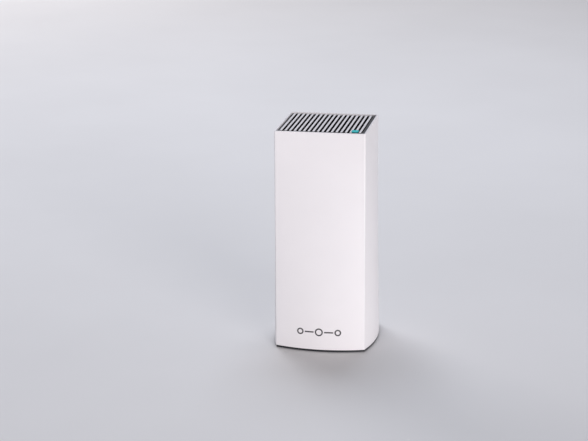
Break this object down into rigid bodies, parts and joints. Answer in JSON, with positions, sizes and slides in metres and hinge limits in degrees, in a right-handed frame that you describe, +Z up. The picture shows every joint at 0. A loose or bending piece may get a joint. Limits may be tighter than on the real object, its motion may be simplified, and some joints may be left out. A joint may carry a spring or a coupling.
{
  "type": "mesh wifi node",
  "caption": "Square white tower wifi node with a slatted top, a small status light in the slats and a dark base whose bay hides downward network and power sockets.",
  "frame": {"origin": "centre of the footprint on the surface the foot pad stands on", "axes": "+Z up along the tower, -Y out of the plain front face, +X to the right seen from the front"},
  "size_m": [0.087, 0.0868, 0.1859],
  "materials": {
    "aluminium_part": "plain extruded",
    "black_plastic": "fine textured moulding",
    "cable_grey": "extruded jacket",
    "capacitor_can": "bare can",
    "chip_black": "moulded package",
    "circuit_board": "solder mask over copper",
    "connector_black": "moulded",
    "gap_filler": "soft pad",
    "gold_contact": "gold plated",
    "grey_plastic": "glass-filled moulding",
    "led_lens": "clear lens",
    "light_window": "milky, lit from below",
    "paper_label": "plain printed film, blank",
    "reset_dark": "moulded",
    "rubber_pad": "soft matt",
    "steel_pin": "nickel plated",
    "steel_screw": "zinc plated",
    "tinned_steel": "tin plate",
    "white_nylon": "moulded",
    "white_shell": "fine satin moulding"
  },
  "bodies": {
    "node": {"aerial_left_high": "circuit_board", "aerial_left_low": "circuit_board", "aerial_right_high": "circuit_board", "aerial_right_low": "circuit_board", "aerial_top": "circuit_board", "base_cover": "black_plastic", "base_screws": "steel_screw", "board_screws": "steel_screw", "capacitors": "capacitor_can", "chassis": "grey_plastic", "chassis_screws": "steel_screw", "coax_connectors": "gold_contact", "coax_left_high": "cable_grey", "coax_left_low": "cable_grey", "coax_right_high": "cable_grey", "coax_right_low": "cable_grey", "coax_top": "cable_grey", "flash_chip": "chip_black", "foot_pads": "rubber_pad", "grille_bars": "white_shell", "grille_carrier": "black_plastic", "heat_spreader": "aluminium_part", "heatsink": "aluminium_part", "heatsink_screws": "steel_screw", "housing": "white_shell", "inductors": "chip_black", "isolation_transformers": "chip_black", "jack_contacts_left": "gold_contact", "jack_contacts_right": "gold_contact", "jack_shield_left": "tinned_steel", "jack_shield_right": "tinned_steel", "label": "paper_label", "led_board": "circuit_board", "led_board_screws": "steel_screw", "led_cable": "cable_grey", "led_socket": "white_nylon", "light_pipe": "light_window", "main_board": "circuit_board", "memory_chips": "chip_black", "network_jack_left": "connector_black", "network_jack_right": "connector_black", "port_bracket": "black_plastic", "power_jack": "connector_black", "power_pin": "steel_pin", "processor": "chip_black", "radio_cans": "tinned_steel", "radio_chips": "chip_black", "rear_vent_panel": "white_shell", "regulator_chip": "chip_black", "reset_switch": "connector_black", "spreader_screws": "steel_screw", "spreader_standoffs": "steel_pin", "status_led": "led_lens", "switch_body": "connector_black", "switch_pins": "steel_pin", "thermal_pads": "gap_filler", "top_baffle": "black_plastic"},
    "rocker": {"power_rocker": "connector_black"},
    "reset": {"reset_button": "reset_dark", "reset_plunger": "white_nylon"}
  },
  "joints": [
    {"name": "power_rocker_tilt", "type": "hinge", "parent": "node", "child": "rocker", "pos_m": [-0.019, 0.0025, 0.0379], "axis": [1, 0, 0], "range_deg": [-18, 0]},
    {"name": "reset_press", "type": "slide", "parent": "node", "child": "reset", "axis": [0, 0, 1], "range_m": [0, 0.0006], "stiffness_N_per_m": 1500, "springref_m": -0.0004}
  ]
}
